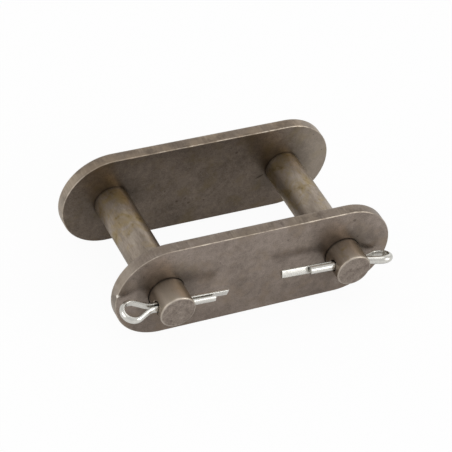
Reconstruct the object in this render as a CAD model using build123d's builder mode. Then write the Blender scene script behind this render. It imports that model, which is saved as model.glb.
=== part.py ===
"""Cottered connecting link of a steel roller chain.

Two obround plates stand on their long straight edges. Two round pins join them: they are
pressed and riveted into the pin-link plate, and their free ends pass through the cover plate.
A split cotter goes through each free end and keeps the cover plate on.

Frame: X along the pitch line, -Y towards the free ends of the pins, +Z up. The origin lies
halfway between the two pins and halfway between the two plates, at half the plates' height.
All sizes are in millimetres and all angles in degrees.
"""

import os
from math import asin, atan2, cos, hypot, sin

from build123d import *

# Chain sizes
PITCH = 41.4
PLATE_HEIGHT = 22.8
PLATE_THICKNESS = 2.8
PLATE_GAP = 26.8
PIN_DIAMETER = 7.9

# Plate edges: punching rolls one rim over and leaves the other one crisp
PLATE_ROLLED_EDGE = 0.45
PLATE_CRISP_EDGE = 0.15
COVER_HOLE_CLEARANCE = 0.1
COVER_HOLE_CHAMFER = 0.2

# Pin ends
PIN_TIP_CHAMFER = 0.4
CROSS_HOLE_TO_TIP = 2.7
RIVET_HEAD_HEIGHT = 1.1
RIVET_HEAD_SPREAD = 0.45
RIVET_RIM_HEIGHT = 0.3
RIVET_CROWN_INSET = 1.2

# Cotters: half-round wire folded flat to flat round a drop-shaped eye, legs sprung apart
WIRE_RADIUS = 0.92
COTTER_LEG_GAP = 0.34
COTTER_HOLE_CLEARANCE = 0.16
CROSS_HOLE_CHAMFER = 0.2
EYE_INNER_RADIUS = 1.85
EYE_DROP_LENGTH = 3.6
LEG_BEND_RADIUS = 3.5

# Each pin and cotter as it was put in: the cross hole's distance from the cover plate, the
# reach of eye and legs past the pin, and the lie of the hole and of the loop in it
LEFT_HOLE_TO_PLATE = 3.6
LEFT_HOLE_TURN = 2.9
LEFT_EYE_REACH = 8.0
LEFT_LONG_LEG_REACH = 8.7
LEFT_SHORT_LEG_REACH = 5.4
LEFT_LOOP_TILT = 14.0
RIGHT_HOLE_TO_PLATE = 3.3
RIGHT_HOLE_TURN = 3.2
RIGHT_EYE_REACH = 6.65
RIGHT_LONG_LEG_REACH = 12.1
RIGHT_SHORT_LEG_REACH = 5.7
RIGHT_LOOP_TILT = -26.5

# What follows from those sizes
PIN_RADIUS = PIN_DIAMETER / 2
COTTER_HOLE_RADIUS = WIRE_RADIUS + COTTER_LEG_GAP / 2 + COTTER_HOLE_CLEARANCE
INNER_FACE = PLATE_GAP / 2
OUTER_FACE = INNER_FACE + PLATE_THICKNESS
LEFT_PIN_X = -PITCH / 2
RIGHT_PIN_X = PITCH / 2
LEFT_OUTWARD = -1
RIGHT_OUTWARD = 1


def loop_plane(
    pin_x: float, outward: int, hole_to_plate: float, hole_turn: float, tilt: float = 0.0
) -> Plane:
    """Return the plane of a cotter's loop: x runs out of the hole to the eye, y across the legs."""
    out_of_hole = Vector(outward, 0, 0).rotate(Axis.Y, hole_turn)
    across_legs = Vector(0, 1, 0).rotate(Axis.X, tilt).rotate(Axis.Y, hole_turn)
    origin = (pin_x, -OUTER_FACE - hole_to_plate, 0)
    return Plane(origin, x_dir=out_of_hole, z_dir=out_of_hole.cross(across_legs))


# Pin-link plate: holds both pins tight, rolled rim outside, crisp rim towards the chain
with BuildPart() as pin_link_plate:
    with BuildSketch(Plane.XZ.offset(-INNER_FACE)):
        SlotCenterToCenter(PITCH, PLATE_HEIGHT)
        with Locations((LEFT_PIN_X, 0), (RIGHT_PIN_X, 0)):
            Circle(PIN_RADIUS, mode=Mode.SUBTRACT)
    extrude(amount=-PLATE_THICKNESS)
    outer_face = pin_link_plate.faces().sort_by(Axis.Y)[-1]
    fillet(outer_face.outer_wire().edges(), PLATE_ROLLED_EDGE)
    inner_face = pin_link_plate.faces().sort_by(Axis.Y)[0]
    chamfer(inner_face.outer_wire().edges(), PLATE_CRISP_EDGE)

# Cover plate: slips over both pins, rolled rim towards the chain, crisp rim outside
with BuildPart() as cover_plate:
    with BuildSketch(Plane.XZ.offset(INNER_FACE)):
        SlotCenterToCenter(PITCH, PLATE_HEIGHT)
        with Locations((LEFT_PIN_X, 0), (RIGHT_PIN_X, 0)):
            Circle(PIN_RADIUS + COVER_HOLE_CLEARANCE, mode=Mode.SUBTRACT)
    extrude(amount=PLATE_THICKNESS)
    inner_face = cover_plate.faces().sort_by(Axis.Y)[-1]
    fillet(inner_face.outer_wire().edges(), PLATE_ROLLED_EDGE)
    outer_face = cover_plate.faces().sort_by(Axis.Y)[0]
    chamfer(outer_face.outer_wire().edges(), PLATE_CRISP_EDGE)
    outer_face = cover_plate.faces().sort_by(Axis.Y)[0]
    chamfer(outer_face.inner_wires().edges(), COVER_HOLE_CHAMFER)


def turn_pin(pin_x: float, hole_to_plate: float, hole_turn: float) -> BuildPart:
    """Return a pin: a turned shank, a rivet head behind the plate and a drilled cross hole."""
    tip_y = -OUTER_FACE - hole_to_plate - CROSS_HOLE_TO_TIP
    with BuildPart() as pin:
        with BuildSketch(Plane.XY.move(Location((pin_x, 0, 0)))):
            with BuildLine():
                Polyline(
                    (0, tip_y),
                    (PIN_RADIUS - PIN_TIP_CHAMFER, tip_y),
                    (PIN_RADIUS, tip_y + PIN_TIP_CHAMFER),
                    (PIN_RADIUS, OUTER_FACE),
                    (PIN_RADIUS + RIVET_HEAD_SPREAD, OUTER_FACE),
                    (PIN_RADIUS + RIVET_HEAD_SPREAD, OUTER_FACE + RIVET_RIM_HEIGHT),
                    (PIN_RADIUS - RIVET_CROWN_INSET, OUTER_FACE + RIVET_HEAD_HEIGHT),
                    (0, OUTER_FACE + RIVET_HEAD_HEIGHT),
                    close=True,
                )
            make_face()
        revolve(axis=Axis((pin_x, 0, 0), (0, 1, 0)))
        hole_axis = loop_plane(pin_x, RIGHT_OUTWARD, hole_to_plate, hole_turn)
        with BuildSketch(Plane(hole_axis.origin, z_dir=hole_axis.x_dir)):
            Circle(COTTER_HOLE_RADIUS)
        extrude(amount=PIN_DIAMETER, both=True, mode=Mode.SUBTRACT)
        hole_mouths = pin.edges(Select.LAST).filter_by(GeomType.LINE, reverse=True)
        chamfer(hole_mouths, CROSS_HOLE_CHAMFER)
    return pin


left_pin = turn_pin(LEFT_PIN_X, LEFT_HOLE_TO_PLATE, LEFT_HOLE_TURN)
right_pin = turn_pin(RIGHT_PIN_X, RIGHT_HOLE_TO_PLATE, RIGHT_HOLE_TURN)


def bend_cotter(loop: Plane, eye_reach: float, upper_reach: float, lower_reach: float) -> BuildPart:
    """Return a split cotter swept along its flat inner face from one leg's tip to the other's.

    The upper leg is the one on the loop plane's +y side. Reaches are measured from the pin.
    """
    flat = COTTER_LEG_GAP / 2
    eye_x = PIN_RADIUS + eye_reach - WIRE_RADIUS - EYE_INNER_RADIUS
    parting_x = eye_x - EYE_DROP_LENGTH
    parting_to_eye = hypot(EYE_DROP_LENGTH, flat)
    flank_angle = asin(EYE_INNER_RADIUS / parting_to_eye) - atan2(flat, EYE_DROP_LENGTH)
    flank_x = eye_x - EYE_INNER_RADIUS * sin(flank_angle)
    flank_y = EYE_INNER_RADIUS * cos(flank_angle)
    with BuildPart() as cotter:
        with BuildLine(loop) as inner_face_line:
            FilletPolyline(
                (-PIN_RADIUS - lower_reach, -flat),
                (parting_x, -flat),
                (flank_x, -flank_y),
                radius=LEG_BEND_RADIUS,
            )
            ThreePointArc((flank_x, -flank_y), (eye_x + EYE_INNER_RADIUS, 0), (flank_x, flank_y))
            FilletPolyline(
                (flank_x, flank_y),
                (parting_x, flat),
                (-PIN_RADIUS - upper_reach, flat),
                radius=LEG_BEND_RADIUS,
            )
        wire_path = inner_face_line.wires()[0]
        with BuildSketch(Plane(wire_path @ 0, x_dir=loop.z_dir, z_dir=wire_path % 0)):
            with BuildLine():
                ThreePointArc((-WIRE_RADIUS, 0), (0, WIRE_RADIUS), (WIRE_RADIUS, 0))
                Line((WIRE_RADIUS, 0), (-WIRE_RADIUS, 0))
            make_face()
        sweep(path=wire_path)
    return cotter


left_loop = loop_plane(
    LEFT_PIN_X, LEFT_OUTWARD, LEFT_HOLE_TO_PLATE, LEFT_HOLE_TURN, LEFT_LOOP_TILT
)
left_cotter = bend_cotter(left_loop, LEFT_EYE_REACH, LEFT_LONG_LEG_REACH, LEFT_SHORT_LEG_REACH)
right_loop = loop_plane(
    RIGHT_PIN_X, RIGHT_OUTWARD, RIGHT_HOLE_TO_PLATE, RIGHT_HOLE_TURN, RIGHT_LOOP_TILT
)
right_cotter = bend_cotter(
    right_loop, RIGHT_EYE_REACH, RIGHT_LONG_LEG_REACH, RIGHT_SHORT_LEG_REACH
)

os.makedirs("parts", exist_ok=True)
pin_link_plate.part.label = "pin_link_plate"
cover_plate.part.label = "cover_plate"
left_pin.part.label = "left_pin"
right_pin.part.label = "right_pin"
left_cotter.part.label = "left_cotter"
right_cotter.part.label = "right_cotter"
export_step(pin_link_plate.part, "parts/pin_link_plate.step")
export_step(cover_plate.part, "parts/cover_plate.step")
export_step(left_pin.part, "parts/left_pin.step")
export_step(right_pin.part, "parts/right_pin.step")
export_step(left_cotter.part, "parts/left_cotter.step")
export_step(right_cotter.part, "parts/right_cotter.step")
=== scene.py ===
"""Looks of a cottered connecting link of a steel roller chain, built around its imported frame.

Every length is in metres in the frame's own axes: X along the pitch line, -Y towards the free
ends of the pins, +Z up. The origin lies halfway between the pins and between the plates.
"""

import logging
import math
from dataclasses import dataclass
from enum import Enum
from itertools import pairwise
from typing import Callable, Iterable, Sequence

import bmesh
import bpy
from mathutils import Matrix, Vector

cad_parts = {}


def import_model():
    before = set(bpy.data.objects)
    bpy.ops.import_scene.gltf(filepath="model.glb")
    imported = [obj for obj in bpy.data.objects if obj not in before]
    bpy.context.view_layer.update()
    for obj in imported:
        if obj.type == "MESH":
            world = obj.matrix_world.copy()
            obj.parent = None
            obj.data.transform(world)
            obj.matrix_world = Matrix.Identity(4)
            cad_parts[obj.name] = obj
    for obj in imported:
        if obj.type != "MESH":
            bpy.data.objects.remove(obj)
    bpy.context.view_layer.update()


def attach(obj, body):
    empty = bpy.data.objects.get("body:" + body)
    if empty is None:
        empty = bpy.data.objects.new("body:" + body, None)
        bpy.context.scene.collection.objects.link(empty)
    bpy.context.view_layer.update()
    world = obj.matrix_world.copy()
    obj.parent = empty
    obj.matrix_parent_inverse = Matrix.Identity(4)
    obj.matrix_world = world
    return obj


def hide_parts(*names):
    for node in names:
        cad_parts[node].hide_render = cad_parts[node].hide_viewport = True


LOG = logging.getLogger("connecting_link")
MM = 0.001
Point = tuple[float, float, float]
Row = tuple[float, float]
Colour = tuple[float, float, float, float]
WHITE: Colour = (1.0, 1.0, 1.0, 1.0)


def srgb(*levels: float) -> Colour:
    """Turn red, green and blue written as 0-255 sRGB into linear RGBA with full opacity."""
    shares = [level / 255 for level in levels]
    return (*(s / 12.92 if s <= 0.04045 else ((s + 0.055) / 1.055) ** 2.4 for s in shares), 1.0)


# ---- sizes


@dataclass(frozen=True)
class LinkSizes:
    """Sizes that several pieces share."""

    pitch: float = 41.4 * MM
    plate_height: float = 22.8 * MM
    plate_thickness: float = 2.8 * MM
    plate_gap: float = 26.8 * MM
    pin_diameter: float = 7.9 * MM
    rolled_edge: float = 0.45 * MM
    crisp_edge: float = 0.15 * MM
    cover_clearance: float = 0.1 * MM
    cover_chamfer: float = 0.06 * MM
    press_chamfer: float = 0.02 * MM
    pin_tip_edge: float = 0.4 * MM
    cross_hole_to_tip: float = 2.7 * MM
    wire_radius: float = 0.92 * MM
    leg_gap: float = 0.34 * MM
    hole_clearance: float = 0.16 * MM
    hole_chamfer: float = 0.2 * MM
    eye_inner_radius: float = 1.85 * MM
    eye_drop_length: float = 3.6 * MM
    leg_bend_radius: float = 3.5 * MM

    @property
    def inner_face(self) -> float:
        """Distance of a plate's inner face from the middle."""
        return self.plate_gap / 2

    @property
    def outer_face(self) -> float:
        """Distance of a plate's outer face from the middle."""
        return self.inner_face + self.plate_thickness

    @property
    def pin_radius(self) -> float:
        """Radius of both pins."""
        return self.pin_diameter / 2

    @property
    def hole_radius(self) -> float:
        """Radius of the cross holes."""
        return self.wire_radius + self.leg_gap / 2 + self.hole_clearance


SIZES = LinkSizes()


class Side(Enum):
    """Which end of the link a pin and its cotter belong to; the value points outwards along X."""

    LEFT = -1
    RIGHT = 1


@dataclass(frozen=True)
class PinEnd:
    """The free end of one pin, with the cross hole that its cotter goes through."""

    side: Side
    hole_to_plate: float
    hole_turn: float

    @property
    def pin_x(self) -> float:
        """Place of the pin along the pitch line."""
        return self.side.value * SIZES.pitch / 2

    @property
    def hole_y(self) -> float:
        """Place of the cross hole along the pin."""
        return -SIZES.outer_face - self.hole_to_plate

    @property
    def tip_y(self) -> float:
        """Place of the pin's end face."""
        return self.hole_y - SIZES.cross_hole_to_tip


LEFT_END = PinEnd(Side.LEFT, hole_to_plate=3.6 * MM, hole_turn=2.9)
RIGHT_END = PinEnd(Side.RIGHT, hole_to_plate=3.3 * MM, hole_turn=3.2)


# ---- node tree helpers


def operation(name: str) -> Callable[..., "Value"]:
    """Return a method that adds a Math node, such as ADD or SQRT, which starts from a value."""
    return lambda value, *others: value.graph.math(name, value, *others)


@dataclass(frozen=True, eq=False)
class Value:
    """A socket that is reckoned with like a number: each step adds a node to its tree."""

    graph: "Graph"
    socket: bpy.types.NodeSocket

    __add__ = operation("ADD")
    __sub__ = operation("SUBTRACT")
    __mul__ = operation("MULTIPLY")
    __truediv__ = operation("DIVIDE")
    __mod__ = operation("MODULO")
    __abs__ = operation("ABSOLUTE")
    at_least = operation("MAXIMUM")
    over = operation("GREATER_THAN")
    about = operation("COMPARE")
    floor = operation("FLOOR")
    sine = operation("SINE")
    cosine = operation("COSINE")
    root = operation("SQRT")

    def hypot(self, other: "Value") -> "Value":
        """Return the length of the diagonal that this value and another span."""
        return (self * self + other * other).root()

    def frayed(self, pattern: "Value", amount: object) -> "Value":
        """Return the value, pushed up and down by a pattern that lies around 0.5."""
        return self + (pattern - 0.5) * amount

    def ramp(self, low: float, high: float, start: float = 0.0, end: float = 1.0) -> "Value":
        """Return this value mapped smoothly from low..high to start..end."""
        inputs = {"Value": self, "From Min": low, "From Max": high, "To Min": start, "To Max": end}
        return self.graph.one("ShaderNodeMapRange", inputs, interpolation_type="SMOOTHSTEP")

    def blend(self, first: object, second: object) -> "Value":
        """Return the colour between two others that this value, from 0 to 1, picks."""
        inputs = {"Factor": self, "A": first, "B": second}
        return self.graph.one("ShaderNodeMix", inputs, data_type="RGBA")

    def tint(self, colour: object, amount: "Value") -> "Value":
        """Return this colour with an amount of another one mixed in."""
        return amount.blend(self, colour)

    def moved(self, step: object) -> "Value":
        """Return this vector moved by a step."""
        return self.graph.vector("ADD", self, step)

    def stretched(self, factors: Point) -> "Value":
        """Return this vector with its three parts multiplied."""
        return self.graph.vector("MULTIPLY", self, factors)

    def split(self) -> tuple["Value", ...]:
        """Return the X, Y and Z of this vector."""
        return tuple(self.graph.add("ShaderNodeSeparateXYZ", {"Vector": self}).values())

    def noise(self, scale: object, detail: float = 3.0, roughness: float = 0.55,
              warp: float = 0.0) -> "Value":
        """Return the noise around 0.5 at this place; the scale is in cells per metre."""
        inputs = dict(Vector=self, Scale=scale, Detail=detail, Roughness=roughness, Distortion=warp)
        return self.graph.one("ShaderNodeTexNoise", inputs)


class Graph:
    """A thin layer over a node tree that adds nodes and joins their sockets."""

    def __init__(self, tree: bpy.types.NodeTree) -> None:
        """Wrap a node tree."""
        self.tree = tree

    def feed(self, socket: bpy.types.NodeSocket, value: object) -> None:
        """Fill an input.

        Args:
            socket: The input.
            value: A value to join it to, or its plain setting.
        """
        if isinstance(value, Value):
            self.tree.links.new(value.socket, socket)
        else:
            socket.default_value = value

    def add(self, kind: str, inputs: dict | None = None, **settings: object) -> dict[str, Value]:
        """Add a node, set its properties and fill its inputs.

        Args:
            kind: Blender's type name of the node.
            inputs: Name or number of an input to what fills it.
            settings: Properties of the node itself.

        Returns:
            The node's live outputs by name.
        """
        node = self.tree.nodes.new(kind)
        for name, value in settings.items():
            setattr(node, name, value)
        for key, value in (inputs or {}).items():
            self.feed(node.inputs[key], value)
        return {out.name: Value(self, out) for out in node.outputs if out.enabled}

    def one(self, kind: str, inputs: dict | None = None, **settings: object) -> Value:
        """Add a node and return its first live output."""
        return next(iter(self.add(kind, inputs, **settings).values()))

    def math(self, name: str, *values: object, clamp: bool = False) -> Value:
        """Add a Math node, whose result may be kept between 0 and 1."""
        return self.one("ShaderNodeMath", dict(enumerate(values)), operation=name, use_clamp=clamp)

    def vector(self, name: str, *values: object) -> Value:
        """Add a Vector Math node."""
        return self.one("ShaderNodeVectorMath", dict(enumerate(values)), operation=name)

    def xyz(self, **parts: object) -> Value:
        """Return a vector of the given X, Y and Z, with 0 for those left out."""
        return self.one("ShaderNodeCombineXYZ", parts)


class Kind(Enum):
    """What a named socket of a node tree carries."""

    VALUE = "NodeSocketFloat"
    COUNT = "NodeSocketInt"
    VECTOR = "NodeSocketVector"
    MATERIAL = "NodeSocketMaterial"
    GEOMETRY = "NodeSocketGeometry"


class NamedTree:
    """A node tree with named inputs and outputs."""

    def __init__(self, name: str, kind: str, inputs: dict[str, object],
                 outputs: dict[str, Kind]) -> None:
        """Make the tree with nothing but its inputs.

        Args:
            name: Name of the tree.
            kind: Blender's type name of the tree.
            inputs: Name of each input to its default, or to its kind where it has none.
            outputs: Name of each output to its kind.
        """
        self.tree = bpy.data.node_groups.new(name, kind)
        for title, default in inputs.items():
            plain = Kind.COUNT if isinstance(default, int) else Kind.VALUE
            carried = default if isinstance(default, Kind) else plain
            socket = self.tree.interface.new_socket(title, in_out="INPUT",
                                                    socket_type=carried.value)
            if carried is not default:
                socket.default_value = default
        for title, carried in outputs.items():
            self.tree.interface.new_socket(title, in_out="OUTPUT", socket_type=carried.value)
        self.graph = Graph(self.tree)
        self.inlet = self.graph.add("NodeGroupInput")


# ---- shader node groups


def spaced(values: dict[str, object]) -> dict[str, object]:
    """Return keyword arguments as input names, with spaces for underscores."""
    return {name.replace("_", " "): value for name, value in values.items()}


class ShaderEffect(NamedTree):
    """A shader node group that several finishes share."""

    def __init__(self, name: str, draw: Callable[[dict[str, Value]], dict[str, Value]],
                 outputs: Sequence[str] = ("Mask",), **inputs: object) -> None:
        """Make the group and draw its pattern.

        Args:
            name: Name of the group.
            draw: Takes the inputs, with the place as Vector, and returns the outputs.
            outputs: Names of the outputs.
            inputs: Names of the other inputs, with underscores for spaces, to their defaults.
        """
        inlets = {"Vector": Kind.VECTOR, **spaced(inputs)}
        super().__init__(name, "ShaderNodeTree", inlets, dict.fromkeys(outputs, Kind.VALUE))
        self.graph.add("NodeGroupOutput", draw(self.inlet))

    def place(self, vector: Value, **values: object) -> dict[str, Value]:
        """Put the group into a place's material and return its outputs by name."""
        inputs = {"Vector": vector, **spaced(values)}
        return vector.graph.add("ShaderNodeGroup", inputs, node_tree=self.tree)


def draw_mottle(at: dict[str, Value]) -> dict[str, Value]:
    """Draw the blotches and grain of mill-finish steel.

    Args:
        at: The group's inputs.

    Returns:
        A tone around 0.5, a warm-cool drift and a height.
    """
    place = at["Vector"]
    blotch = place.noise(at["Blotch Scale"], 4.0, 0.6, 0.4)
    speckle = place.noise(at["Speckle Scale"], 3.0, 0.6)
    grain = place.noise(at["Grain Scale"], 2.0, 0.5)
    tone = (blotch - 0.5) * at["Blotch"] + 0.5
    tone = tone.frayed(speckle, at["Speckle"]).frayed(grain, at["Grain"])
    elsewhere = place.moved((0.37, 0.11, 0.53))
    drift = elsewhere.noise(at["Blotch Scale"] * 1.7, 3.0, 0.6)
    return {"Tone": tone, "Drift": drift, "Height": grain * 0.4 + speckle * 0.6}


def draw_rim(at: dict[str, Value]) -> dict[str, Value]:
    """Draw a torn line along an obround or round edge that runs round the Y direction, used for
    painted highlights.

    Args:
        at: The group's inputs.

    Returns:
        A torn mask of the edge line and the distance past the rim.
    """
    x, y, z = at["Vector"].split()
    along = (abs(x) - at["Half Pitch"]).at_least(0.0)
    past = along.hypot(z) - at["Radius"]
    share = past.hypot(y - at["Edge Y"]) / at["Width"]
    torn = at["Vector"].noise(at["Breakup Scale"], 3.0, 0.65)
    mask = share.frayed(torn, at["Breakup"]).ramp(0.2, 1.0, 1.0, 0.0)
    return {"Mask": mask, "Past Rim": past}


def draw_joint(at: dict[str, Value]) -> dict[str, Value]:
    """Draw a ragged ring round the two pins on a plate, used for painted shade.

    Args:
        at: The group's inputs.

    Returns:
        The ring's mask.
    """
    x, _, z = at["Vector"].split()
    past = (abs(x) - at["Half Pitch"]).hypot(z) - at["Radius"]
    ragged = (past / at["Reach"]).frayed(at["Vector"].noise(500.0), 0.8)
    return {"Mask": ragged.ramp(0.0, 1.0, 1.0, 0.0)}


def draw_mark(at: dict[str, Value]) -> dict[str, Value]:
    """Draw one ragged nick, speck or scratch at a given place.

    Args:
        at: The group's inputs.

    Returns:
        The mark's mask.
    """
    place, g = at["Vector"], at["Vector"].graph
    off = {"Vector": g.vector("SUBTRACT", place, at["Place"]), "Angle": at["Slant"]}
    turned = g.one("ShaderNodeVectorRotate", off, rotation_type="Y_AXIS")
    share = g.vector("LENGTH", g.vector("DIVIDE", turned, at["Reach"]))
    return {"Mask": share.frayed(place.noise(2600.0, 2.0), 0.9).ramp(0.45, 1.1, 1.0, 0.0)}


def draw_streaks(at: dict[str, Value]) -> dict[str, Value]:
    """Return straight fine marks, around 0.5, along the stretched direction of the place."""
    return {"Streak": at["Vector"].noise(at["Scale"], 2.0, 0.5)}


def draw_stain(at: dict[str, Value]) -> dict[str, Value]:
    """Draw soft-edged stains, gathered round two stations along the Y direction.

    Args:
        at: The group's inputs.

    Returns:
        The stain's mask.
    """
    g = at["Vector"].graph
    _, y, _ = at["Vector"].split()
    shares = [(y - at[station]) / at["Reach"] for station in ("Station A", "Station B")]
    first, second = (g.math("DIVIDE", 1.0, share * share + 1.0) for share in shares)
    cloud = at["Vector"].noise(at["Scale"], 4.0, 0.6, 0.6)
    level = first.at_least(second) * 0.2 + cloud
    return {"Mask": g.math("MULTIPLY", level - at["Spread"], 4.0, clamp=True)}


def draw_pits(at: dict[str, Value]) -> dict[str, Value]:
    """Draw small scattered dark pits.

    Args:
        at: The group's inputs.

    Returns:
        The pits' mask.
    """
    g = at["Vector"].graph
    cells = g.add("ShaderNodeTexVoronoi", {"Vector": at["Vector"], "Scale": at["Scale"]})
    chosen = g.one("ShaderNodeSeparateColor", {"Color": cells["Color"]}).over(0.86)
    return {"Mask": (cells["Distance"] / at["Size"]).ramp(0.4, 1.0, 1.0, 0.0) * chosen}


class Effects:
    """The shared effects, each built once."""

    def __init__(self) -> None:
        """Build the groups with their usual values."""
        self.mottle = ShaderEffect(
            "mill_mottle", draw_mottle, ("Tone", "Drift", "Height"), Blotch_Scale=140.0,
            Speckle_Scale=900.0, Grain_Scale=4200.0, Blotch=0.5, Speckle=0.35, Grain=0.25)
        self.rim = ShaderEffect(
            "rim_highlight_line", draw_rim, ("Mask", "Past Rim"), Half_Pitch=0.0, Radius=10.0 * MM,
            Edge_Y=0.0, Width=0.2 * MM, Breakup=0.5, Breakup_Scale=600.0)
        self.joint = ShaderEffect("joint_shade_ring", draw_joint, Half_Pitch=SIZES.pitch / 2,
                                  Radius=SIZES.pin_radius, Reach=1.0 * MM)
        self.mark = ShaderEffect("single_mark", draw_mark, Place=Kind.VECTOR, Reach=Kind.VECTOR,
                                 Slant=0.0)
        self.streak = ShaderEffect("fine_streaks", draw_streaks, ("Streak",), Scale=3000.0)
        self.stain = ShaderEffect("heat_stain", draw_stain, Station_A=0.0, Station_B=0.0,
                                  Reach=3.0 * MM, Scale=340.0, Spread=0.55)
        self.pits = ShaderEffect("scattered_pits", draw_pits, Scale=420.0, Size=0.16)


# ---- finishes


class MetalShader:
    """A material with one Principled shader of bare metal."""

    def __init__(self, name: str) -> None:
        """Make the material.

        Args:
            name: Name of the material.
        """
        self.material = bpy.data.materials.new(name)
        self.material.use_nodes = True
        self.graph = Graph(self.material.node_tree)
        self.place = self.graph.add("ShaderNodeTexCoord")["Object"]

    def finish(self, base: Value, roughness: Value, height: Value, strength: float,
               depth: float) -> bpy.types.Material:
        """Feed the shader and give the material.

        Args:
            base: Base colour.
            roughness: Roughness.
            height: Height of the fine relief.
            strength: Strength of the relief.
            depth: Depth of the relief.

        Returns:
            The finished material.
        """
        relief = {"Height": height, "Strength": strength, "Distance": depth}
        normal = self.graph.one("ShaderNodeBump", relief)
        shader = self.material.node_tree.nodes["Principled BSDF"].inputs
        shader["Metallic"].default_value = 1.0
        for title, value in (("Base Color", base), ("Roughness", roughness), ("Normal", normal)):
            self.graph.feed(shader[title], value)
        return self.material


@dataclass(frozen=True)
class Mark:
    """One nick, speck or scratch in a surface, as an ellipsoid in the piece's own axes."""

    place: Point
    reach: Point
    colour: Colour
    slant: float = 0.0
    strength: float = 0.8


# The tones of the mottle over which the roughness runs.
TONE_SPAN: Row = (0.2, 0.8)
NICK_BRIGHT = srgb(250, 243, 234)
SPECK_DARK = srgb(58, 47, 40)


@dataclass(frozen=True)
class PlateSteel:
    """Dull grey-brown mill finish of a punched plate."""

    name: str
    crisp_edge_y: float
    rolled_edge_y: float
    dark: Colour
    light: Colour
    warm: Colour
    rim_tone: Colour
    marks: tuple[Mark, ...] = ()
    joint_shade_share: float = 0.3
    pin_shade_share: float = 0.4
    left_rim_light: float = 0.2
    right_end_light: float = 0.0
    joint_shade_reach: float = 0.7 * MM
    pin_shade_reach: float = 5.0 * MM
    crisp_width: float = 0.22 * MM
    rolled_width: float = 0.9 * MM
    rim_fade: Row = (-0.3 * MM, -0.05 * MM)
    left_fade: Row = (-10.0 * MM, -5.0 * MM)
    right_fade: Row = (0.0, 9.0 * MM)
    shear_scale: float = 2300.0
    shear_patches: float = 260.0
    scuff_patches: float = 330.0
    highlight_patches: float = 190.0
    pit_share: float = 0.35
    rolled_share: float = 0.12
    polish: Row = (0.4, 0.32)
    rim_dullness: float = 0.08
    relief_strength: float = 0.3
    relief_depth: float = 0.015 * MM
    bright_edge: Colour = srgb(212, 200, 184)
    pit: Colour = srgb(84, 74, 66)
    joint_shade: Colour = srgb(38, 30, 24)
    # Colour of the painted shade round the pins.
    pin_shade: Colour = srgb(80, 73, 64)
    offset: Point = (0.0, 0.0, 0.0)

    def build(self, effects: Effects) -> bpy.types.Material:
        """Build the material.

        Args:
            effects: The shared effects.

        Returns:
            The finished material.
        """
        metal = MetalShader(self.name)
        place, moved = metal.place, metal.place.moved(self.offset)
        half_pitch = SIZES.pitch / 2
        ends = {"Half_Pitch": half_pitch, "Radius": SIZES.plate_height / 2}
        crisp = effects.rim.place(place, Edge_Y=self.crisp_edge_y, Width=self.crisp_width,
                                  Breakup=1.5, Breakup_Scale=900.0, **ends)
        rolled = effects.rim.place(place, Edge_Y=self.rolled_edge_y, Width=self.rolled_width,
                                   Breakup=1.4, **ends)
        on_rim = crisp["Past Rim"].ramp(*self.rim_fade)

        mottle = effects.mottle.place(moved, Blotch=1.2, Speckle=0.9, Grain=1.1)
        base = mottle["Tone"].blend(self.dark, self.light)
        base = base.tint(self.warm, mottle["Drift"].ramp(0.48, 0.75, 0.0, 0.55))
        base = base.tint(self.rim_tone, on_rim * mottle["Drift"].ramp(0.3, 0.65, 0.15, 0.9))

        x, _, _ = place.split()
        # Painted light: the rim lighter towards the left end.
        lit_left_rim = x.ramp(*(step - half_pitch for step in self.left_fade), self.left_rim_light, 0.0)
        base = base.tint(self.bright_edge, on_rim * lit_left_rim)
        # Painted reflection: the face lighter towards the right end.
        lit_right_end = x.ramp(*(step + half_pitch for step in self.right_fade), 0.0, self.right_end_light)
        base = base.tint(self.bright_edge, lit_right_end)

        pits = effects.pits.place(moved)["Mask"]
        base = base.tint(self.pit, pits * self.pit_share)
        across = moved.stretched((1.0, 0.05, 1.0))
        sheared = effects.streak.place(across, Scale=self.shear_scale)["Streak"]
        patches = moved.noise(self.shear_patches, 2.0).ramp(0.4, 0.62, 0.1, 0.9)
        shear = (sheared - 0.5) * (on_rim * patches)
        base = base.tint(self.bright_edge, shear * 0.7).tint(self.pit, shear * -0.9)
        scuffed = moved.noise(self.scuff_patches, 3.0, 0.6).ramp(0.5, 0.68, 0.0, 0.45)
        base = base.tint(self.pit, scuffed * on_rim)
        # Painted highlight along the crisp edge, broken into patches, with a fainter one along the
        # rolled edge.
        kept = moved.noise(self.highlight_patches, 2.0).ramp(0.36, 0.62, 0.2, 0.85)
        edge_highlight = (crisp["Mask"] * kept).at_least(rolled["Mask"] * self.rolled_share)
        base = base.tint(self.bright_edge, edge_highlight)

        # Painted shade: a dark ring where each pin meets the plate.
        joint_shade = effects.joint.place(place, Reach=self.joint_shade_reach)["Mask"]
        base = base.tint(self.joint_shade, joint_shade * self.joint_shade_share)
        # Painted shade: a wide darker zone round each pin on the plate.
        pin_shade = effects.joint.place(place, Reach=self.pin_shade_reach)["Mask"]
        base = base.tint(self.pin_shade, pin_shade * self.pin_shade_share)
        for mark in self.marks:
            spot = effects.mark.place(place, Place=mark.place, Reach=mark.reach, Slant=mark.slant)
            base = base.tint(mark.colour, spot["Mask"] * mark.strength)

        roughness = mottle["Tone"].ramp(*TONE_SPAN, *self.polish) + on_rim * self.rim_dullness
        height = shear * 0.5 + mottle["Height"] - pits * 0.4
        return metal.finish(base, roughness, height, self.relief_strength, self.relief_depth)


def specks(y: float, spots: Sequence[Point]) -> tuple[Mark, ...]:
    """Return dark specks on a face at y, from the X, Z and radius of each in millimetres."""
    return tuple(Mark((x * MM, y, z * MM), (r * MM, r * MM, r * MM), SPECK_DARK, strength=0.5)
                 for x, z, r in spots)


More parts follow.
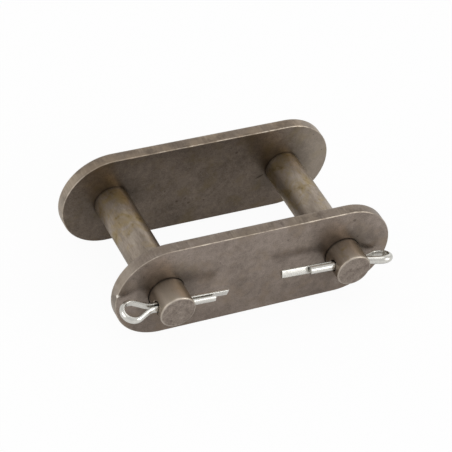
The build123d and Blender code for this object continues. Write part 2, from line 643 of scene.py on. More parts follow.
FRONT_STEEL = PlateSteel(
    "front_plate_steel", crisp_edge_y=-SIZES.outer_face, rolled_edge_y=-SIZES.inner_face,
    dark=srgb(115, 104, 95), light=srgb(165, 152, 142), warm=srgb(142, 126, 108),
    rim_tone=srgb(136, 123, 109), pin_shade_share=0.52, left_rim_light=0.25,
    marks=(
        Mark(place=(-31.9 * MM, -SIZES.outer_face + 0.1 * MM, 1.9 * MM),
             reach=(0.6 * MM, 0.5 * MM, 0.45 * MM), colour=NICK_BRIGHT, strength=1.0),
        *specks(-SIZES.outer_face, ((22.2, 9.0, 0.45), (23.9, 3.9, 0.25), (6.5, 7.4, 0.25),
                                    (-9.0, 5.1, 0.22), (13.1, -6.3, 0.2))),
    ))
BACK_STEEL = PlateSteel(
    "back_plate_steel", crisp_edge_y=SIZES.inner_face, rolled_edge_y=SIZES.outer_face,
    dark=srgb(97, 87, 77), light=srgb(141, 128, 116), warm=srgb(120, 106, 80),
    rim_tone=srgb(152, 136, 118), joint_shade_share=0.5, pin_shade_share=0.5, left_rim_light=0.28,
    right_end_light=0.27, offset=(0.31, 0.17, 0.05),
    marks=(
        Mark(place=(15.5 * MM, SIZES.inner_face, -1.7 * MM),
             reach=(1.3 * MM, 0.5 * MM, 0.3 * MM), colour=SPECK_DARK, slant=0.4, strength=0.75),
        *specks(SIZES.inner_face, ((-1.7, -5.2, 0.4), (-4.7, -4.1, 0.38), (-2.6, -3.7, 0.3),
                                   (2.1, -5.3, 0.28), (-8.0, -0.4, 0.25), (-15.9, 1.3, 0.25),
                                   (8.4, 6.9, 0.4), (30.4, 2.7, 0.25), (27.4, 7.7, 0.2))),
    ))


@dataclass(frozen=True)
class PinSteel:
    """Ground steel of a pin with golden-brown heat stains."""

    name: str
    end: PinEnd
    stations: Row
    dark: Colour = srgb(122, 110, 98)
    light: Colour = srgb(195, 182, 167)
    gold: Colour = srgb(156, 136, 92)
    deep_gold: Colour = srgb(104, 88, 52)
    lit_tip_tone: Colour = srgb(206, 194, 178)
    lit_tip_share: float = 0.45
    tip_gold: Colour = srgb(108, 93, 66)
    tip_stain: float = 0.2
    # Colour of the painted shade on the pin's sides.
    side_shade: Colour = srgb(96, 80, 62)
    side_shade_share: float = 0.45
    tip_flank_shade_share: float = 0.4
    side_shade_from: Row = (-12.0 * MM, -8.0 * MM)
    side_shade_fade: Row = (1.5 * MM, 4.5 * MM)
    stain_fade: Row = (0.5 * MM, 3.5 * MM)
    tip_flank_shade_fade: Row = (-3.9 * MM, -2.4 * MM)
    fade_swing: float = 2.0 * MM
    cover_fade: float = 1.6 * MM
    ring_highlight_share: float = 0.32
    ring_highlight_width: float = 0.34 * MM
    end_dark: Colour = srgb(98, 86, 77)
    end_light: Colour = srgb(172, 160, 149)
    bright_edge: Colour = srgb(226, 217, 204)
    joint_shade: Colour = srgb(40, 32, 24)
    joint_shade_reach: float = 0.6 * MM
    joint_shade_share: float = 0.4
    rim_inset: float = 0.12 * MM
    polish: Row = (0.46, 0.36)
    relief_strength: float = 0.25
    relief_depth: float = 0.015 * MM
    offset: Point = (0.0, 0.0, 0.0)

    def build(self, effects: Effects) -> bpy.types.Material:
        """Build the material.

        Args:
            effects: The shared effects.

        Returns:
            The finished material.
        """
        metal = MetalShader(self.name)
        centre = {"Vector": metal.place, "Location": (-self.end.pin_x, 0.0, 0.0)}
        own = metal.graph.one("ShaderNodeMapping", centre)
        moved = own.moved(self.offset)
        x, y, _ = own.split()
        cover, tip, rim = -SIZES.outer_face, self.end.tip_y, self.end.tip_y + self.rim_inset

        mottle = effects.mottle.place(moved.stretched((1.0, 0.25, 1.0)), Blotch_Scale=330.0,
                                      Blotch=1.4, Speckle=0.6, Grain=0.5)
        base = mottle["Tone"].blend(self.dark, self.light)
        first, second = (station + self.offset[1] for station in self.stations)
        stain = effects.stain.place(moved, Station_A=first, Station_B=second)["Mask"]
        scorched = stain * moved.noise(800.0).ramp(0.5, 0.7, 0.0, 0.6)
        base = base.tint(self.gold, stain * 0.75).tint(self.deep_gold, scorched)
        ragged = moved.noise(300.0) * self.fade_swing + x
        # Painted shade on the pin's +X side, stronger towards the back plate.
        side_shaded = ragged.ramp(*self.side_shade_fade) * y.ramp(*self.side_shade_from, 0.2, 1.0)
        base = base.tint(self.side_shade, side_shaded * self.side_shade_share)

        free = y.ramp(cover - self.cover_fade, cover, 1.0, 0.0)
        # Painted light: the free end lighter than the rest of the pin.
        base = base.tint(self.lit_tip_tone, free * self.lit_tip_share)
        tip_stain = ragged.ramp(*self.stain_fade, 0.0, self.tip_stain)
        base = base.tint(self.tip_gold, free * tip_stain)
        # Painted shade on the free end's -X flank.
        flank = x.ramp(*self.tip_flank_shade_fade, self.tip_flank_shade_share, 0.0)
        base = base.tint(self.side_shade, free * flank)

        cut = effects.mottle.place(moved, Blotch_Scale=420.0, Speckle_Scale=1300.0, Blotch=1.4,
                                   Speckle=0.8, Grain=0.8)
        sawn = cut["Tone"].blend(self.end_dark, self.end_light)
        base = base.tint(sawn, y.ramp(tip + 0.02 * MM, rim, 1.0, 0.0))
        # Painted highlight: a bright ring round the edge of the end face.
        edge = effects.rim.place(own, Radius=SIZES.pin_radius - self.rim_inset, Edge_Y=rim,
                                 Width=self.ring_highlight_width, Breakup=1.5)["Mask"]
        base = base.tint(self.bright_edge, edge * self.ring_highlight_share)
        # Painted shade: the pin darker where it meets each plate.
        at_back = y.ramp(SIZES.inner_face - self.joint_shade_reach, SIZES.inner_face)
        at_cover = abs(y - cover).ramp(0.0, self.joint_shade_reach, 1.0, 0.0)
        base = base.tint(self.joint_shade, at_back.at_least(at_cover) * self.joint_shade_share)

        ground = effects.streak.place(moved.stretched((0.2, 1.0, 0.2)), Scale=3600.0)["Streak"]
        roughness = mottle["Tone"].ramp(*TONE_SPAN, *self.polish)
        height = ground * 0.5 + mottle["Height"]
        return metal.finish(base, roughness, height, self.relief_strength, self.relief_depth)


@dataclass(frozen=True)
class ZincWire:
    """Bright zinc plating of the cotter wire."""

    name: str
    dull: Colour = srgb(192, 190, 184)
    bright: Colour = srgb(238, 236, 229)
    polish: Row = (0.3, 0.22)
    relief_strength: float = 0.06
    relief_depth: float = 0.008 * MM
    offset: Point = (0.0, 0.0, 0.0)

    def build(self, effects: Effects) -> bpy.types.Material:
        """Build the material.

        Args:
            effects: The shared effects.

        Returns:
            The finished material.
        """
        metal = MetalShader(self.name)
        moved = metal.place.moved(self.offset)
        mottle = effects.mottle.place(moved, Blotch_Scale=700.0, Speckle_Scale=2400.0,
                                      Grain_Scale=7000.0, Blotch=0.9, Speckle=0.3, Grain=0.1)
        drawn = effects.streak.place(moved.stretched((0.08, 1.0, 1.0)), Scale=6000.0)["Streak"]
        base = mottle["Tone"].blend(self.dull, self.bright)
        roughness = mottle["Tone"].ramp(*TONE_SPAN, *self.polish)
        height = drawn * 0.6 + mottle["Height"]
        return metal.finish(base, roughness, height, self.relief_strength, self.relief_depth)


# ---- geometry trees


class ShapeTree(NamedTree):
    """A geometry node tree with named inputs whose result becomes a plain mesh."""

    def __init__(self, name: str, **inputs: object) -> None:
        """Make the tree; its inputs are given by name, with underscores for spaces."""
        inlets = {"Geometry": Kind.GEOMETRY, **spaced(inputs), "Material": Kind.MATERIAL}
        super().__init__(name, "GeometryNodeTree", inlets, {"Geometry": Kind.GEOMETRY})

    def finish(self, geometry: Value) -> None:
        """End the tree in Realize Instances and Set Material.

        Args:
            geometry: What the tree has made.
        """
        real = self.graph.one("GeometryNodeRealizeInstances", {"Geometry": geometry})
        inputs = {"Geometry": real, "Material": self.inlet["Material"]}
        dressed = self.graph.one("GeometryNodeSetMaterial", inputs)
        self.graph.add("NodeGroupOutput", {"Geometry": dressed})

    def closed_curve(self, count: Value, x: Value, y: Value) -> Value:
        """Add nodes that make one closed curve through points given by fields.

        Args:
            count: Number of points.
            x: Field of the points' x.
            y: Field of the points' y.

        Returns:
            The curve.
        """
        g = self.graph
        points = g.one("GeometryNodePoints", {"Count": count, "Position": g.xyz(X=x, Y=y)})
        curve = g.one("GeometryNodePointsToCurves", {"Points": points})
        return g.one("GeometryNodeSetSplineCyclic", {"Geometry": curve, "Cyclic": True})

    def make(self, name: str, values: dict[str, object],
             base: bpy.types.ID | None = None) -> bpy.types.Object:
        """Run the tree and keep its result as a plain mesh object at the origin.

        Args:
            name: Name of the finished object.
            values: Names of inputs to their values.
            base: Mesh or curve data that the tree starts from; an empty mesh if left out.

        Returns:
            The finished mesh object, linked to the scene.
        """
        start = base or bpy.data.meshes.new(name + "_base")
        carrier = link(bpy.data.objects.new(name + "_tree", start))
        modifier = carrier.modifiers.new("shape", "NODES")
        modifier.node_group = self.tree
        for item in self.tree.interface.items_tree:
            if item.in_out == "INPUT" and item.name in values:
                modifier[item.identifier] = values[item.name]
        graph = bpy.context.evaluated_depsgraph_get()
        mesh = bpy.data.meshes.new_from_object(carrier.evaluated_get(graph), depsgraph=graph)
        carrier.modifiers.remove(modifier)
        bpy.data.objects.remove(carrier)
        mesh.name = name
        return link(bpy.data.objects.new(name, mesh))


DOUBLES_DISTANCE = 0.0005 * MM


def link(thing: bpy.types.Object) -> bpy.types.Object:
    """Put an object into the scene and return it."""
    bpy.context.scene.collection.objects.link(thing)
    return thing


def finish_mesh(mesh: bpy.types.Mesh, sharp_from: float) -> None:
    """Weld doubles, turn all faces outwards and shade smooth between the sharp edges.

    Args:
        mesh: The closed mesh.
        sharp_from: Angle in degrees from which an edge stays sharp.
    """
    work = bmesh.new()
    work.from_mesh(mesh)
    bmesh.ops.remove_doubles(work, verts=work.verts, dist=DOUBLES_DISTANCE)
    bmesh.ops.recalc_face_normals(work, faces=work.faces)
    work.to_mesh(mesh)
    work.free()
    mesh.polygons.foreach_set("use_smooth", [True] * len(mesh.polygons))
    mesh.set_sharp_from_angle(angle=math.radians(sharp_from))
    mesh.update()


class PlateShape(ShapeTree):
    """An obround plate with two holes, lying in XY: rolled rim at z = 0, crisp rim on top."""

    roll_steps = 8
    weld = 0.002 * MM

    def __init__(self) -> None:
        """Build the tree."""
        super().__init__(
            "obround_plate", Half_Pitch=20.0 * MM, Radius=10.0 * MM, Thickness=3.0 * MM,
            Hole_Radius=4.0 * MM, Rolled_Edge=0.4 * MM, Crisp_Edge=0.1 * MM,
            Hole_Chamfer=0.1 * MM, End_Steps=96, Hole_Steps=128)
        g, at = self.graph, self.inlet
        top, radius = at["Thickness"], at["Radius"]
        rims: list[tuple[Value, object]] = []
        for step in range(self.roll_steps + 1):
            turn = math.pi / 2 * step / self.roll_steps
            inset = at["Rolled Edge"] * (1.0 - math.sin(turn))
            rims.append((self.obround(radius - inset), at["Rolled Edge"] * (1.0 - math.cos(turn))))
        rims.append((self.obround(radius), top - at["Crisp Edge"]))
        rims.append((self.obround(radius - at["Crisp Edge"]), top))
        parts = [self.loft(*low, *high) for low, high in pairwise(rims)]

        bores = self.holes(at["Hole Radius"])
        mouths = self.holes(at["Hole Radius"] + at["Hole Chamfer"])
        parts += [self.lid([rims[0][0], *bores], 0.0), self.lid([rims[-1][0], *mouths], top)]
        bend = top - at["Hole Chamfer"]
        for bore, mouth in zip(bores, mouths):
            parts += [self.loft(bore, 0.0, bore, bend), self.loft(bore, bend, mouth, top)]
        welded = {"Geometry": self.joined(parts), "Distance": self.weld}
        self.finish(g.one("GeometryNodeMergeByDistance", welded))

    def obround(self, radius: Value) -> Value:
        """Add nodes that make a closed obround, whose half circles are divided in End Steps.

        Args:
            radius: Radius of the half circles.

        Returns:
            The curve.
        """
        index, steps = self.graph.one("GeometryNodeInputIndex"), self.inlet["End Steps"]
        per_end = steps + 1
        side = index.over(per_end - 0.5)
        share = (index - side * per_end) / steps - 0.5
        angle = (share + side) * math.pi
        sign = side * -2.0 + 1.0
        x = angle.cosine() * radius + sign * self.inlet["Half Pitch"]
        return self.closed_curve(per_end * 2, x, angle.sine() * radius)

    def holes(self, radius: Value) -> list[Value]:
        """Add nodes that make the two hole circles.

        Args:
            radius: Radius of the circles.

        Returns:
            The left and the right circle.
        """
        size = {"Resolution": self.inlet["Hole Steps"], "Radius": radius}
        circle = self.graph.one("GeometryNodeCurvePrimitiveCircle", size)
        return [self.shifted(circle, X=self.inlet["Half Pitch"] * sign) for sign in (-1.0, 1.0)]

    def shifted(self, geometry: Value, **parts: object) -> Value:
        """Add nodes that move a geometry by the given X, Y and Z."""
        inputs = {"Geometry": geometry, "Translation": self.graph.xyz(**parts)}
        return self.graph.one("GeometryNodeTransform", inputs)

    def joined(self, items: Sequence[Value]) -> Value:
        """Add a node that joins several geometries.

        Args:
            items: The geometries.

        Returns:
            All of them as one.
        """
        node = self.graph.tree.nodes.new("GeometryNodeJoinGeometry")
        for item in reversed(items):
            self.graph.feed(node.inputs["Geometry"], item)
        return Value(self.graph, node.outputs["Geometry"])

    def lid(self, outlines: Sequence[Value], z: object) -> Value:
        """Add nodes that fill outlines with a flat face at a height."""
        face = self.graph.one("GeometryNodeFillCurve", {"Curve": self.joined(outlines)})
        return self.shifted(face, Z=z)

    def loft(self, low: Value, z_low: object, high: Value, z_high: object) -> Value:
        """Add nodes that bridge two outlines with the same number of points.

        A strip is swept along the lower outline, then each of its two rows of points is put
        on its own outline.

        Args:
            low: The lower outline.
            z_low: Its height.
            high: The upper outline.
            z_high: Its height.

        Returns:
            The wall between them.
        """
        g = self.graph
        ends = {"Start": (0.0, 0.0, 0.0), "End": (0.0, 1.0, 0.0)}
        line = g.one("GeometryNodeCurvePrimitiveLine", ends)
        strip = g.one("GeometryNodeCurveToMesh", {"Curve": low, "Profile Curve": line})
        index = g.one("GeometryNodeInputIndex")
        ring, is_top = (index / 2.0).floor(), index % 2.0
        rows = []
        for outline, z in ((low, z_low), (high, z_high)):
            wanted = {"Geometry": outline, "Value": g.one("GeometryNodeInputPosition"),
                      "Index": ring}
            found = g.one("GeometryNodeSampleIndex", wanted, data_type="FLOAT_VECTOR",
                          domain="POINT")
            rows.append(found.moved(g.xyz(Z=z)))
        picked = {"Factor": is_top, "A": rows[0], "B": rows[1]}
        place = g.one("ShaderNodeMix", picked, data_type="VECTOR")
        return g.one("GeometryNodeSetPosition", {"Geometry": strip, "Position": place})


class WireShape(ShapeTree):
    """Half-round wire swept along a flat path in the XY plane."""

    corner_steps = 6

    def __init__(self) -> None:
        """Build the tree."""
        super().__init__("half_round_wire", Radius=0.9 * MM, Corner=0.28 * MM, Arc_Steps=20)
        g, radius, steps = self.graph, self.inlet["Radius"], self.inlet["Arc Steps"]
        index = g.one("GeometryNodeInputIndex")
        angle = index / steps * math.pi
        half = self.closed_curve(steps + 1, angle.sine() * radius, angle.cosine() * radius)
        corner = index.about(0.0, 0.5).at_least(index.about(steps, 0.5)) * self.inlet["Corner"]
        rounding = {"Curve": half, "Radius": corner, "Count": self.corner_steps,
                    "Limit Radius": False}
        profile = g.one("GeometryNodeFilletCurve", rounding, mode="POLY")
        path = g.one("GeometryNodeSetCurveNormal", {"Curve": self.inlet["Geometry"]},
                     mode="Z_UP")
        swept = {"Curve": path, "Profile Curve": profile, "Fill Caps": True}
        self.finish(g.one("GeometryNodeCurveToMesh", swept))


@dataclass(frozen=True)
class Workshop:
    """What the pieces share, each built once."""

    effects: Effects
    plate: PlateShape
    wire: WireShape


# ---- sub-assemblies


@dataclass
class Piece:
    """A sub-assembly that stands for one node of the frame."""

    name: str
    node: str
    body: str
    slot: str

    def dress(self, made: bpy.types.Object) -> None:
        """Hide the piece's node and tie the finished piece to its body.

        Args:
            made: The piece's object.
        """
        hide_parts(self.node)
        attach(made, self.body)


@dataclass
class Plate(Piece):
    """One punched obround plate."""

    rolled_y: float
    hole_radius: float
    hole_chamfer: float
    finish: PlateSteel
    sharp_from: float = 25.0

    def build(self, shop: Workshop) -> bpy.types.Object:
        """Build the plate's mesh and put it in its place.

        Args:
            shop: What the pieces share.

        Returns:
            The plate's object.
        """
        values = {
            "Half Pitch": SIZES.pitch / 2, "Radius": SIZES.plate_height / 2,
            "Thickness": SIZES.plate_thickness, "Hole Radius": self.hole_radius,
            "Rolled Edge": SIZES.rolled_edge, "Crisp Edge": SIZES.crisp_edge,
            "Hole Chamfer": self.hole_chamfer, "Material": self.finish.build(shop.effects)}
        plate = shop.plate.make(self.name, values)
        upright = Matrix(((1, 0, 0, 0), (0, 0, -1, self.rolled_y), (0, 1, 0, 0), (0, 0, 0, 1)))
        plate.data.transform(upright)
        finish_mesh(plate.data, self.sharp_from)
        return plate


class MeshDraft:
    """Points and faces of a mesh in the making."""

    def __init__(self) -> None:
        """Start with nothing."""
        self.points: list[Point] = []
        self.faces: list[tuple[int, ...]] = []

    def loop(self, places: Iterable[Point]) -> list[int]:
        """Add points.

        Args:
            places: Where they lie.

        Returns:
            Their numbers.
        """
        first = len(self.points)
        self.points += places
        return list(range(first, len(self.points)))

    def band(self, outer: Sequence[int], inner: Sequence[int],
             columns: Iterable[int] | None = None) -> None:
        """Join two closed loops of the same length by faces.

        Args:
            outer: Point numbers of one loop.
            inner: Point numbers of the other.
            columns: Which faces to make; all of them if left out.
        """
        for here in range(len(outer)) if columns is None else columns:
            after = (here + 1) % len(outer)
            corners = dict.fromkeys((outer[here], outer[after], inner[after], inner[here]))
            if len(corners) > 2:
                self.faces.append(tuple(corners))


@dataclass
class Pin(Piece):
    """One turned pin with a cross-drilled free end and a riveted head."""

    end: PinEnd
    finish: PinSteel
    head_height: float = 1.1 * MM
    head_overhang: float = 0.45 * MM
    head_wall: float = 0.25 * MM
    head_round: float = 1.85 * MM
    head_chamfer: float = 0.05 * MM
    head_steps: int = 12
    head_rings: tuple[float, ...] = (0.0, 0.35, 0.7, 1.0)
    shank_steps: int = 24
    tip_steps: int = 8
    tip_rings: tuple[float, ...] = (0.93, 0.8, 0.6, 0.4, 0.2, 0.0)
    columns: int = 96
    patch_cells: int = 7
    patch_half_height: float = 1.8 * MM
    skin_shares: tuple[float, ...] = (0.35, 0.68, 1.0)
    chamfer_steps: int = 5
    sharp_from: float = 30.0

    def outline(self) -> list[Row]:
        """Work out the rows of the pin from its head to just before the drilled zone.

        Returns:
            Radius and y of each row.
        """
        r, face = SIZES.pin_radius, SIZES.outer_face
        edge, wall = r + self.head_overhang, face + self.head_wall
        crown, rise = edge - self.head_round, self.head_height - self.head_wall
        rows = [(share * crown, wall + rise) for share in self.head_rings]
        for step in range(1, self.head_steps + 1):
            turn = step / self.head_steps * math.pi / 2
            rows.append((crown + self.head_round * math.sin(turn), wall + rise * math.cos(turn)))
        rows += [(edge, face + self.head_chamfer), (edge - self.head_chamfer, face), (r, face)]
        run = self.end.hole_y + self.patch_half_height - face
        rows += [(r, face + run * step / self.shank_steps) for step in range(1, self.shank_steps)]
        return rows

    def tip(self) -> list[Row]:
        """Work out the rows from just past the drilled zone to the middle of the free end.

        Returns:
            Radius and y of each row, over the rounded edge and across the end face.
        """
        r, tip_y, edge = SIZES.pin_radius, self.end.tip_y, SIZES.pin_tip_edge
        rows = []
        for step in range(self.tip_steps + 1):
            turn = step / self.tip_steps * math.pi / 2
            rows.append((r - edge * (1 - math.cos(turn)), tip_y + edge * (1 - math.sin(turn))))
        rows += [(share * (r - edge), tip_y) for share in self.tip_rings]
        return rows

    def spot(self, out: float, across: float, y: float) -> Point:
        """Turn a place told by the cross hole's direction into the frame's axes.

        Args:
            out: Distance from the pin's axis along the cross hole.
            across: Distance from the pin's axis across the cross hole.
            y: Place along the pin.

        Returns:
            The place.
        """
        turn = math.radians(self.end.hole_turn)
        return (self.end.pin_x + out * math.cos(turn) + across * math.sin(turn), y,
                across * math.cos(turn) - out * math.sin(turn))

    def ring(self, draft: MeshDraft, radius: float, y: float) -> list[int]:
        """Add a ring of points round the pin's axis, or one point at a pole.

        Args:
            draft: The mesh in the making.
            radius: Radius of the ring.
            y: Place along the pin.

        Returns:
            The point's number for each column.
        """
        if radius == 0.0:
            return draft.loop([self.spot(0.0, 0.0, y)]) * self.columns
        turns = [2 * math.pi * column / self.columns for column in range(self.columns)]
        return draft.loop(self.spot(radius * math.cos(a), radius * math.sin(a), y) for a in turns)

    def mouth(self, draft: MeshDraft, patch: Sequence[Sequence[int]],
              side: int) -> tuple[list[int], list[float]]:
        """Cut one mouth of the cross hole into its patch of the pin's wall.

        Args:
            draft: The mesh in the making.
            patch: Rings of point numbers over the drilled zone.
            side: 1 for the mouth along the hole's direction, -1 for the one behind.

        Returns:
            The innermost loop of point numbers, and the angle of each round the hole.
        """
        k, n, r = self.patch_cells, self.columns, SIZES.pin_radius
        middle = 0 if side > 0 else n // 2
        cells = [(0, c) for c in range(-k, k)] + [(row, k) for row in range(2 * k)]
        cells += [(2 * k, c) for c in range(k, -k, -1)]
        cells += [(row, -k) for row in range(2 * k, 0, -1)]
        flat = [(side * r * math.sin(2 * math.pi * c / n), self.patch_half_height * (1 - row / k))
                for row, c in cells]
        angles = [math.atan2(v, u) for u, v in flat]

        def skin(u: float, v: float, sink: float = 0.0) -> Point:
            """Return a place u across and v along the pin from the hole, under its skin."""
            return self.spot(side * (math.sqrt(r * r - u * u) - sink), u, self.end.hole_y + v)

        chamfer = SIZES.hole_chamfer
        wide = SIZES.hole_radius + chamfer
        loops = [[patch[row][(middle + c) % n] for row, c in cells]]
        for share in self.skin_shares:
            loops.append(draft.loop(
                skin(u + (wide * math.cos(a) - u) * share, v + (wide * math.sin(a) - v) * share)
                for (u, v), a in zip(flat, angles)))
        for step in range(1, self.chamfer_steps + 1):
            bend = step / self.chamfer_steps * math.pi / 2
            radius, sink = wide - chamfer * math.sin(bend), chamfer * (1 - math.cos(bend))
            loops.append(draft.loop(
                skin(radius * math.cos(a), radius * math.sin(a), sink) for a in angles))
        for outer, inner in pairwise(loops):
            draft.band(outer, inner)
        return loops[-1], angles

    def build(self, shop: Workshop) -> bpy.types.Object:
        """Build the pin's mesh.

        Args:
            shop: What the pieces share.

        Returns:
            The pin's object.
        """
        draft, n, k = MeshDraft(), self.columns, self.patch_cells
        rows = [self.ring(draft, *row) for row in self.outline()]
        levels = [self.end.hole_y + self.patch_half_height * (1 - row / k)
                  for row in range(2 * k + 1)]
        patch = [self.ring(draft, SIZES.pin_radius, y) for y in levels]
        end = [self.ring(draft, *row) for row in self.tip()]
        for upper, lower in (*pairwise([*rows, patch[0]]), *pairwise([patch[-1], *end])):
            draft.band(upper, lower)
        solid = [column for column in range(n) if k <= column % (n // 2) < n // 2 - k]
        for upper, lower in pairwise(patch):
            draft.band(upper, lower, solid)

        near, near_angles = self.mouth(draft, patch, 1)
        far, far_angles = self.mouth(draft, patch, -1)

        def partner(angle: float) -> int:
            """Return the far mouth's point at the same angle round the hole."""
            gaps = [abs(math.remainder(other - angle, 2 * math.pi)) for other in far_angles]
            return far[gaps.index(min(gaps))]

        draft.band(near, [partner(angle) for angle in near_angles])
        mesh = bpy.data.meshes.new(self.name)
        mesh.from_pydata(draft.points, [], draft.faces)
        mesh.validate()
        finish_mesh(mesh, self.sharp_from)
        mesh.materials.append(self.finish.build(shop.effects))
        return link(bpy.data.objects.new(self.name, mesh))


@dataclass
class Cotter(Piece):
    """One split cotter of half-round wire, folded flat to flat round its eye."""

    end: PinEnd
    tilt: float
    eye_reach: float
    upper_reach: float
    lower_reach: float
    finish: ZincWire
    point_spacing: float = 0.12 * MM
    sharp_from: float = 35.0

    def loop_frame(self) -> Matrix:
        """Work out the place of the loop's plane.

        Returns:
            Its frame: x out of the hole to the eye, y across the legs.
        """
        turn = Matrix.Rotation(math.radians(self.end.hole_turn), 3, "Y")
        tip_over = Matrix.Rotation(math.radians(self.tilt), 3, "X")
        x_axis = turn @ Vector((self.end.side.value, 0, 0))
        y_axis = turn @ tip_over @ Vector((0, 1, 0))
        frame = Matrix((x_axis, y_axis, x_axis.cross(y_axis))).transposed().to_4x4()
        frame.translation = Vector((self.end.pin_x, self.end.hole_y, 0))
        return frame

    def path(self) -> list[Row]:
        """Work out the flat inner face's line from one leg's tip round the eye to the other's.

        Returns:
            Points on the loop's plane.
        """
        flat, drop = SIZES.leg_gap / 2, SIZES.eye_drop_length
        r, eye = SIZES.pin_radius, SIZES.eye_inner_radius
        eye_x = r + self.eye_reach - SIZES.wire_radius - eye
        parting_x = eye_x - drop
        flank = math.asin(eye / math.hypot(drop, flat)) - math.atan2(flat, drop)
        flank_x, flank_y = eye_x - eye * math.sin(flank), eye * math.cos(flank)
        legs = [fillet_line([(-r - reach, side * flat), (parting_x, side * flat),
                             (flank_x, side * flank_y)], SIZES.leg_bend_radius,
                            self.point_spacing)
                for side, reach in ((-1, self.lower_reach), (1, self.upper_reach))]
        start = math.atan2(-flank_y, flank_x - eye_x)
        steps = int(-2 * start * eye / self.point_spacing)
        turns = [start * (1 - 2 * i / steps) for i in range(1, steps)]
        arc = [(eye_x + eye * math.cos(a), eye * math.sin(a)) for a in turns]
        return legs[0] + arc + legs[1][::-1]

    def build(self, shop: Workshop) -> bpy.types.Object:
        """Sweep the wire and put the cotter in its place.

        Args:
            shop: What the pieces share.

        Returns:
            The cotter's object.
        """
        line = self.path()
        curve = bpy.data.curves.new(self.name + "_path", "CURVE")
        curve.dimensions = "3D"
        spline = curve.splines.new("POLY")
        spline.points.add(len(line) - 1)
        for point, (x, y) in zip(spline.points, line):
            point.co = (x, y, 0.0, 1.0)
        values = {"Radius": SIZES.wire_radius, "Material": self.finish.build(shop.effects)}
        cotter = shop.wire.make(self.name, values, curve)
        cotter.data.transform(self.loop_frame())
        finish_mesh(cotter.data, self.sharp_from)
        return cotter


def fillet_line(corners: Sequence[Row], radius: float, spacing: float) -> list[Row]:
    """Round the middle corner of a two-run line and divide it evenly.

    Args:
        corners: Start, corner and end.
        radius: Radius of the bend.
        spacing: Wanted distance between points on the bend; the straight runs take four times it.

    Returns:
        Points along the line.
    """
    start, corner, end = (Vector(place) for place in corners)
    back, ahead = (start - corner).normalized(), (end - corner).normalized()
    half = back.angle(ahead) / 2
    run = radius / math.tan(half)
    middle = corner + (back + ahead).normalized() * (radius / math.sin(half))
    first, last = corner + back * run - middle, corner + ahead * run - middle
    sweep = first.angle_signed(last)
    steps = max(3, int(abs(sweep) * radius / spacing))
    bend = [middle + Matrix.Rotation(-sweep * i / steps, 2) @ first for i in range(steps + 1)]
    runs = []
    for a, b in ((start, bend[0]), (bend[-1], end)):
        count = max(2, int((b - a).length / (4 * spacing)))
        runs.append([a.lerp(b, i / count) for i in range(count + 1)])
    return [tuple(place) for place in runs[0] + bend[1:-1] + runs[1]]


# ---- stage


@dataclass(frozen=True)
class Softbox:
    """One large square lamp that looks at the middle of the object."""

    name: str
    azimuth: float
    elevation: float
    power: float
    distance: float = 1.0
    size: float = 0.6

    def add(self) -> None:
        """Add the lamp to the scene."""
        data = bpy.data.lights.new(self.name, "AREA")
        data.shape, data.size, data.energy = "SQUARE", self.size, self.power
        turn, rise = math.radians(self.azimuth), math.radians(self.elevation)
        level = math.cos(rise)
        away = Vector((level * math.cos(turn), level * math.sin(turn), math.sin(rise)))
        facing = (-away).to_track_quat("-Z", "Y").to_matrix().to_4x4()
        lamp = link(bpy.data.objects.new(self.name, data))
        lamp.matrix_world = Matrix.Translation(away * self.distance) @ facing


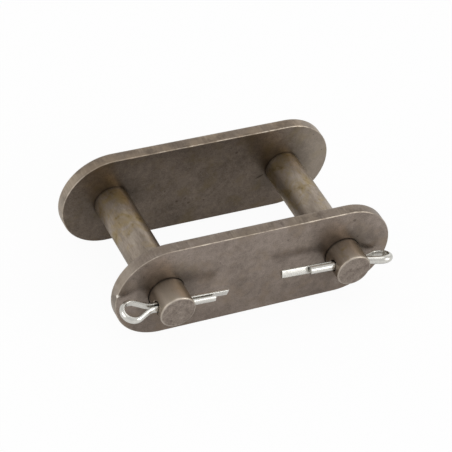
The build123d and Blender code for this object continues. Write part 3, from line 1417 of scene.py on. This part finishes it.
@dataclass(frozen=True)
class Studio:
    """Floor, light and camera."""

    camera_place: Point = (-0.174967, -0.284845, 0.293269)
    camera_right: Point = (0.898430, -0.419204, 0.130733)
    camera_up: Point = (0.193362, 0.644980, 0.739332)
    camera_back: Point = (-0.394251, -0.638959, 0.660528)
    lens: float = 163.970
    sensor: float = 36.0
    sight: Row = (0.01, 20.0)
    floor_half: float = 3.0
    floor_tone: Colour = (0.86, 0.86, 0.86, 1.0)
    floor_seen: float = 0.945
    floor_mirrored: float = 0.12
    surround_level: float = 0.7
    softboxes: tuple[Softbox, ...] = (
        Softbox("left_softbox", azimuth=180.0, elevation=24.0, power=2.1),
        Softbox("front_softbox", azimuth=315.0, elevation=22.0, power=2.6),
        Softbox("right_softbox", azimuth=40.0, elevation=22.0, power=0.45),
        Softbox("top_softbox", azimuth=0.0, elevation=88.0, power=0.9),
    )

    def add_camera(self) -> None:
        """Add the camera and set the plain view transform."""
        bpy.context.scene.view_settings.view_transform = "Standard"
        data = bpy.data.cameras.new("camera")
        data.lens, data.sensor_width = self.lens, self.sensor
        data.clip_start, data.clip_end = self.sight
        camera = link(bpy.data.objects.new("camera", data))
        turn = Matrix((self.camera_right, self.camera_up, self.camera_back)).transposed()
        camera.matrix_world = Matrix.Translation(self.camera_place) @ turn.to_4x4()
        bpy.context.scene.camera = camera

    def add_floor(self, level: float) -> None:
        """Add the pale floor.

        Args:
            level: Height of the floor.
        """
        half = self.floor_half
        corners = [(x, y, level) for x, y in ((-half, -half), (half, -half), (half, half),
                                              (-half, half))]
        mesh = bpy.data.meshes.new("floor")
        mesh.from_pydata(corners, [], [(0, 1, 2, 3)])
        material = bpy.data.materials.new("floor_white")
        material.use_nodes = True
        material.node_tree.nodes.clear()
        g = Graph(material.node_tree)
        matt = g.one("ShaderNodeBsdfDiffuse", {"Color": self.floor_tone})
        glow = g.one("ShaderNodeEmission", {"Color": WHITE, "Strength": 1.0})
        path = g.add("ShaderNodeLightPath")
        mirrored = (path["Is Glossy Ray"] + path["Is Transmission Ray"]) * self.floor_mirrored
        seen = path["Is Camera Ray"] * self.floor_seen + mirrored
        surface = g.one("ShaderNodeMixShader", {0: seen, 1: matt, 2: glow})
        g.add("ShaderNodeOutputMaterial", {"Surface": surface})
        mesh.materials.append(material)
        link(bpy.data.objects.new("floor", mesh))

    def add_light(self) -> None:
        """Add the soft surrounding light and the softboxes."""
        world = bpy.data.worlds.new("studio")
        bpy.context.scene.world = world
        world.use_nodes = True
        world.node_tree.nodes.clear()
        g = Graph(world.node_tree)
        around = {"Color": WHITE, "Strength": self.surround_level}
        g.add("ShaderNodeOutputWorld", {"Surface": g.one("ShaderNodeBackground", around)})
        for softbox in self.softboxes:
            softbox.add()


def link_pieces() -> list[Piece]:
    """List the pieces of the link in the order they are built.

    Returns:
        The plates, the pins and the cotters.
    """
    outer, inner, pin_radius = SIZES.outer_face, SIZES.inner_face, SIZES.pin_radius
    return [
        Plate("back_plate", "pin_link_plate", "pin_link", "plate_steel", rolled_y=outer,
              hole_radius=pin_radius, hole_chamfer=SIZES.press_chamfer,
              finish=BACK_STEEL),
        Plate("front_plate", "cover_plate", "cover", "plate_steel", rolled_y=-inner,
              hole_radius=pin_radius + SIZES.cover_clearance,
              hole_chamfer=SIZES.cover_chamfer, finish=FRONT_STEEL),
        Pin("left_pin_turned", "left_pin", "pin_link", "pin_steel", end=LEFT_END,
            finish=PinSteel("left_pin_steel", LEFT_END, stations=(11.5 * MM, 2.0 * MM),
                            tip_stain=0.5)),
        Pin("right_pin_turned", "right_pin", "pin_link", "pin_steel", end=RIGHT_END,
            finish=PinSteel("right_pin_steel", RIGHT_END, stations=(11.5 * MM, 3.0 * MM),
                            lit_tip_share=0.1, tip_stain=0.6, side_shade_from=(-2.0 * MM, 5.0 * MM),
                            offset=(0.2, 0.4, 0.1))),
        Cotter("left_split_cotter", "left_cotter", "left_cotter", "zinc_wire", end=LEFT_END,
               tilt=14.0, eye_reach=8.0 * MM, upper_reach=8.7 * MM, lower_reach=5.4 * MM,
               finish=ZincWire("left_cotter_zinc")),
        Cotter("right_split_cotter", "right_cotter", "right_cotter", "zinc_wire",
               end=RIGHT_END, tilt=-26.5, eye_reach=6.65 * MM, upper_reach=12.1 * MM,
               lower_reach=5.7 * MM,
               finish=ZincWire("right_cotter_zinc", offset=(0.3, 0.2, 0.1))),
    ]


def main() -> None:
    """Build, dress and report every piece."""
    logging.basicConfig(level=logging.INFO, format="%(name)s: %(message)s")
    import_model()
    studio = Studio()
    studio.add_camera()
    studio.add_floor(-SIZES.plate_height / 2)
    studio.add_light()
    shop = Workshop(Effects(), PlateShape(), WireShape())
    for piece in link_pieces():
        made = piece.build(shop)
        piece.dress(made)
        LOG.info("%s: %d faces", made.name, len(made.data.polygons))


if __name__ == "__main__":
    main()
